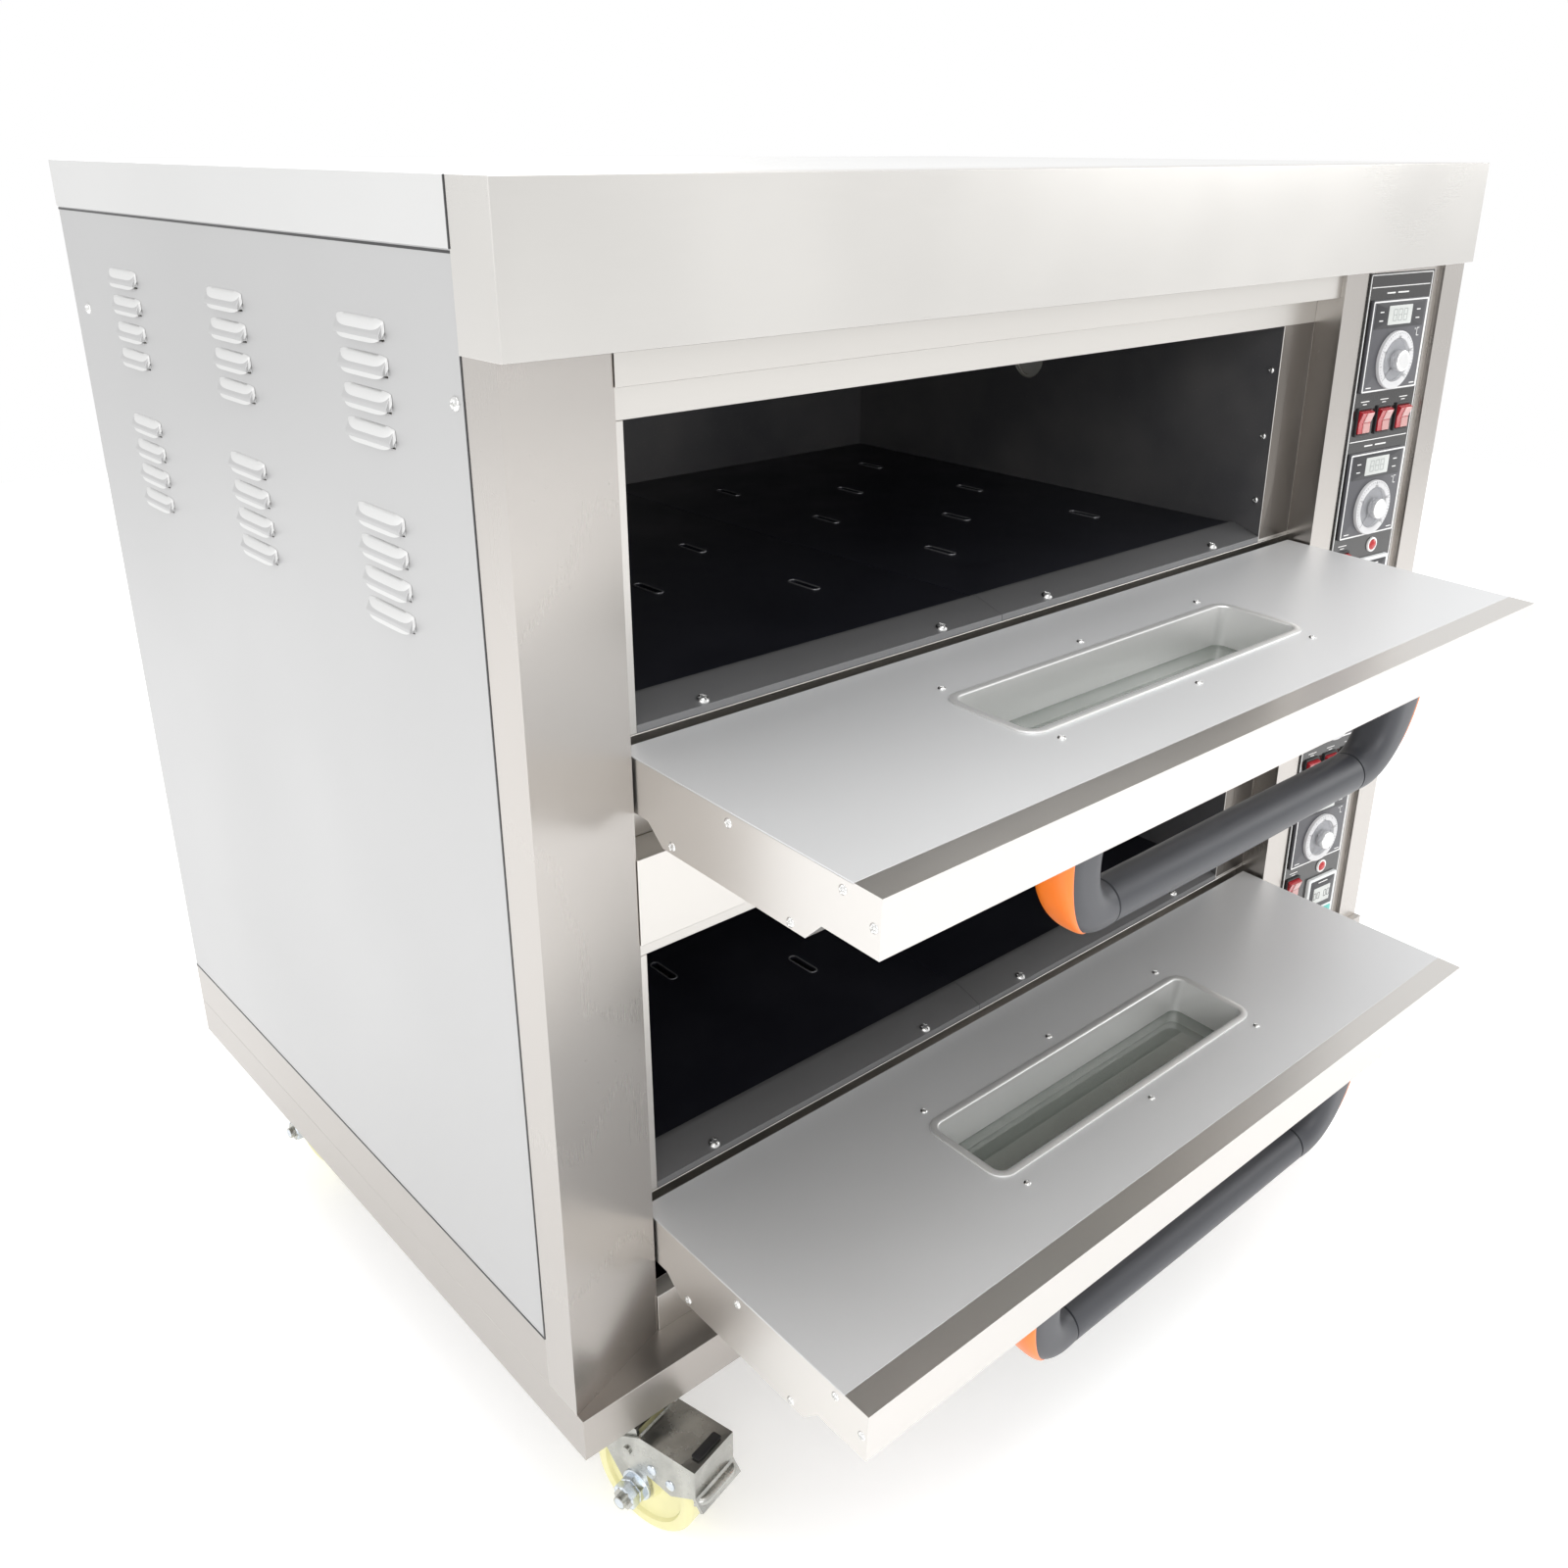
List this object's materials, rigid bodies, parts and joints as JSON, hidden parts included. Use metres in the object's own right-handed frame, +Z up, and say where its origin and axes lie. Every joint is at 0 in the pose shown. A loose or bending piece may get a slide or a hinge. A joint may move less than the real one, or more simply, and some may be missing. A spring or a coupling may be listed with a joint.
{
  "type": "deck oven",
  "caption": "Two-deck electric bakery oven in sheet steel on castors, with bottom-hinged doors stood open, window wells, bar handles and a control column.",
  "frame": {"origin": "on the floor, under the middle of the object with both doors open", "axes": "+Z up, +X to the right of someone facing the doors, the doors open towards -Y"},
  "size_m": [1.2266, 1.0428, 1.097],
  "materials": {
    "brushed_stainless": "brushed stainless steel, warm grey, long fine grain",
    "grey_sheet": "pale grey satin sheet steel with fine speckle",
    "door_stainless": "brushed stainless steel door skin",
    "door_panel": "satin stainless inner panel",
    "bright_trim": "bright silvery pressed trim",
    "chamber_steel": "dark blue-black heat-treated sheet",
    "flashing_steel": "grey stainless flashing",
    "element_steel": "dark oxidised steel tube",
    "mineral_wool": "pressed mineral wool board",
    "black_plate": "black printed plate",
    "instrument_plastic": "grey moulded instrument faces",
    "black_plastic": "black moulded bezels",
    "dial_plastic": "clear dial ring with a silver knob",
    "rocker_red": "translucent red lever",
    "lamp_metal": "lamp housing",
    "electrical_plastic": "switchgear and partition sheet",
    "window_glass": "dark tempered glass",
    "fastener_steel": "bright screws and pins",
    "orange_plastic": "orange moulded end caps",
    "charcoal_plastic": "dark charcoal grip",
    "castor_zinc": "zinc plated pressed steel",
    "castor_nylon": "pale yellow nylon"
  },
  "bodies": {
    "cabinet": {"base_frame": "brushed_stainless", "chamber_lamps": "lamp_metal", "control_fascia": "brushed_stainless", "control_plates": "black_plate", "electrical_parts": "electrical_plastic", "floor_pan": "grey_sheet", "hearth_flashings": "flashing_steel", "hearth_plates": "chamber_steel", "heating_elements": "element_steel", "hood_front": "brushed_stainless", "insulation": "mineral_wool", "left_column": "brushed_stainless", "lower_chamber": "chamber_steel", "lower_door_surround": "brushed_stainless", "panel_fittings": "black_plastic", "panel_instruments": "instrument_plastic", "rear_panel": "grey_sheet", "right_column": "brushed_stainless", "side_panels": "grey_sheet", "top_cover": "grey_sheet", "upper_chamber": "chamber_steel", "upper_door_surround": "brushed_stainless"},
    "front_left_castor_brake": {"front_left_castor_brake": "castor_zinc"},
    "front_left_castor": {"front_left_castor_fork": "castor_zinc"},
    "front_left_castor_wheel": {"front_left_castor_wheel": "castor_nylon"},
    "front_right_castor_brake": {"front_right_castor_brake": "castor_zinc"},
    "front_right_castor": {"front_right_castor_fork": "castor_zinc"},
    "front_right_castor_wheel": {"front_right_castor_wheel": "castor_nylon"},
    "lower_bottom_dial": {"lower_bottom_dial": "dial_plastic"},
    "lower_door": {"lower_door_fasteners": "fastener_steel", "lower_door_glass": "window_glass", "lower_door_handle_ends": "orange_plastic", "lower_door_handle_grip": "charcoal_plastic", "lower_door_inner_panel": "door_panel", "lower_door_insulation": "mineral_wool", "lower_door_skin": "door_stainless", "lower_door_window_trim": "bright_trim"},
    "lower_left_rocker": {"lower_left_rocker": "rocker_red"},
    "lower_middle_rocker": {"lower_middle_rocker": "rocker_red"},
    "lower_right_rocker": {"lower_right_rocker": "rocker_red"},
    "lower_timer_rocker": {"lower_timer_rocker": "rocker_red"},
    "lower_top_dial": {"lower_top_dial": "dial_plastic"},
    "rear_left_castor": {"rear_left_castor_fork": "castor_zinc"},
    "rear_left_castor_wheel": {"rear_left_castor_wheel": "castor_nylon"},
    "rear_right_castor": {"rear_right_castor_fork": "castor_zinc"},
    "rear_right_castor_wheel": {"rear_right_castor_wheel": "castor_nylon"},
    "upper_bottom_dial": {"upper_bottom_dial": "dial_plastic"},
    "upper_door": {"upper_door_fasteners": "fastener_steel", "upper_door_glass": "window_glass", "upper_door_handle_ends": "orange_plastic", "upper_door_handle_grip": "charcoal_plastic", "upper_door_inner_panel": "door_panel", "upper_door_insulation": "mineral_wool", "upper_door_skin": "door_stainless", "upper_door_window_trim": "bright_trim"},
    "upper_left_rocker": {"upper_left_rocker": "rocker_red"},
    "upper_middle_rocker": {"upper_middle_rocker": "rocker_red"},
    "upper_right_rocker": {"upper_right_rocker": "rocker_red"},
    "upper_timer_rocker": {"upper_timer_rocker": "rocker_red"},
    "upper_top_dial": {"upper_top_dial": "dial_plastic"}
  },
  "joints": [
    {"name": "upper_door_hinge", "type": "hinge", "parent": "cabinet", "child": "upper_door", "pos_m": [0, -0.25435, 0.6963], "axis": [-1, 0, 0], "range_deg": [0, 92.1]},
    {"name": "lower_door_hinge", "type": "hinge", "parent": "cabinet", "child": "lower_door", "pos_m": [0, -0.25435, 0.2803], "axis": [-1, 0, 0], "range_deg": [0, 92.1]},
    {"name": "upper_top_dial_turn", "type": "hinge", "parent": "cabinet", "child": "upper_top_dial", "pos_m": [0.49526, -0.28547, 0.8982], "axis": [-0.1097, -0.994, 0], "range_deg": [-300, 0]},
    {"name": "upper_bottom_dial_turn", "type": "hinge", "parent": "cabinet", "child": "upper_bottom_dial", "pos_m": [0.49526, -0.28547, 0.7355], "axis": [-0.1097, -0.994, 0], "range_deg": [-300, 0]},
    {"name": "upper_left_rocker_tip", "type": "hinge", "parent": "cabinet", "child": "upper_left_rocker", "pos_m": [0.46047, -0.28163, 0.834], "axis": [0.994, -0.1097, 0], "range_deg": [-18, 0]},
    {"name": "upper_middle_rocker_tip", "type": "hinge", "parent": "cabinet", "child": "upper_middle_rocker", "pos_m": [0.49526, -0.28547, 0.834], "axis": [0.994, -0.1097, 0], "range_deg": [-18, 0]},
    {"name": "upper_right_rocker_tip", "type": "hinge", "parent": "cabinet", "child": "upper_right_rocker", "pos_m": [0.53004, -0.28931, 0.834], "axis": [0.994, -0.1097, 0], "range_deg": [-18, 0]},
    {"name": "upper_timer_rocker_tip", "type": "hinge", "parent": "cabinet", "child": "upper_timer_rocker", "pos_m": [0.45798, -0.28136, 0.673], "axis": [0.994, -0.1097, 0], "range_deg": [-18, 0]},
    {"name": "lower_top_dial_turn", "type": "hinge", "parent": "cabinet", "child": "lower_top_dial", "pos_m": [0.49526, -0.28547, 0.4822], "axis": [-0.1097, -0.994, 0], "range_deg": [-300, 0]},
    {"name": "lower_bottom_dial_turn", "type": "hinge", "parent": "cabinet", "child": "lower_bottom_dial", "pos_m": [0.49526, -0.28547, 0.3195], "axis": [-0.1097, -0.994, 0], "range_deg": [-300, 0]},
    {"name": "lower_left_rocker_tip", "type": "hinge", "parent": "cabinet", "child": "lower_left_rocker", "pos_m": [0.46047, -0.28163, 0.418], "axis": [0.994, -0.1097, 0], "range_deg": [-18, 0]},
    {"name": "lower_middle_rocker_tip", "type": "hinge", "parent": "cabinet", "child": "lower_middle_rocker", "pos_m": [0.49526, -0.28547, 0.418], "axis": [0.994, -0.1097, 0], "range_deg": [-18, 0]},
    {"name": "lower_right_rocker_tip", "type": "hinge", "parent": "cabinet", "child": "lower_right_rocker", "pos_m": [0.53004, -0.28931, 0.418], "axis": [0.994, -0.1097, 0], "range_deg": [-18, 0]},
    {"name": "lower_timer_rocker_tip", "type": "hinge", "parent": "cabinet", "child": "lower_timer_rocker", "pos_m": [0.45798, -0.28136, 0.257], "axis": [0.994, -0.1097, 0], "range_deg": [-18, 0]},
    {"name": "front_left_castor_swivel", "type": "hinge", "parent": "cabinet", "child": "front_left_castor", "pos_m": [-0.541, -0.25545, 0.1182], "axis": [0, 0, 1], "continuous": true},
    {"name": "front_left_wheel_roll", "type": "hinge", "parent": "front_left_castor", "child": "front_left_castor_wheel", "pos_m": [-0.5329, -0.29052, 0.054], "axis": [0.9744, 0.225, 0], "continuous": true},
    {"name": "front_left_brake_press", "type": "hinge", "parent": "front_left_castor", "child": "front_left_castor_brake", "pos_m": [-0.53448, -0.2837, 0.0912], "axis": [0.9744, 0.225, 0], "range_deg": [0, 8]},
    {"name": "front_right_castor_swivel", "type": "hinge", "parent": "cabinet", "child": "front_right_castor", "pos_m": [0.541, -0.25545, 0.1182], "axis": [0, 0, 1], "continuous": true},
    {"name": "front_right_wheel_roll", "type": "hinge", "parent": "front_right_castor", "child": "front_right_castor_wheel", "pos_m": [0.52869, -0.28928, 0.054], "axis": [0.9397, -0.342, 0], "continuous": true},
    {"name": "front_right_brake_press", "type": "hinge", "parent": "front_right_castor", "child": "front_right_castor_brake", "pos_m": [0.53108, -0.2827, 0.0912], "axis": [0.9397, -0.342, 0], "range_deg": [0, 8]},
    {"name": "rear_left_castor_swivel", "type": "hinge", "parent": "cabinet", "child": "rear_left_castor", "pos_m": [-0.541, 0.39055, 0.1182], "axis": [0, 0, 1], "continuous": true},
    {"name": "rear_left_wheel_roll", "type": "hinge", "parent": "rear_left_castor", "child": "rear_left_castor_wheel", "pos_m": [-0.53849, 0.35464, 0.054], "axis": [0.9976, 0.0698, 0], "continuous": true},
    {"name": "rear_right_castor_swivel", "type": "hinge", "parent": "cabinet", "child": "rear_right_castor", "pos_m": [0.541, 0.39055, 0.1182], "axis": [0, 0, 1], "continuous": true},
    {"name": "rear_right_wheel_roll", "type": "hinge", "parent": "rear_right_castor", "child": "rear_right_castor_wheel", "pos_m": [0.53108, 0.35595, 0.054], "axis": [0.9613, -0.2756, 0], "continuous": true}
  ]
}
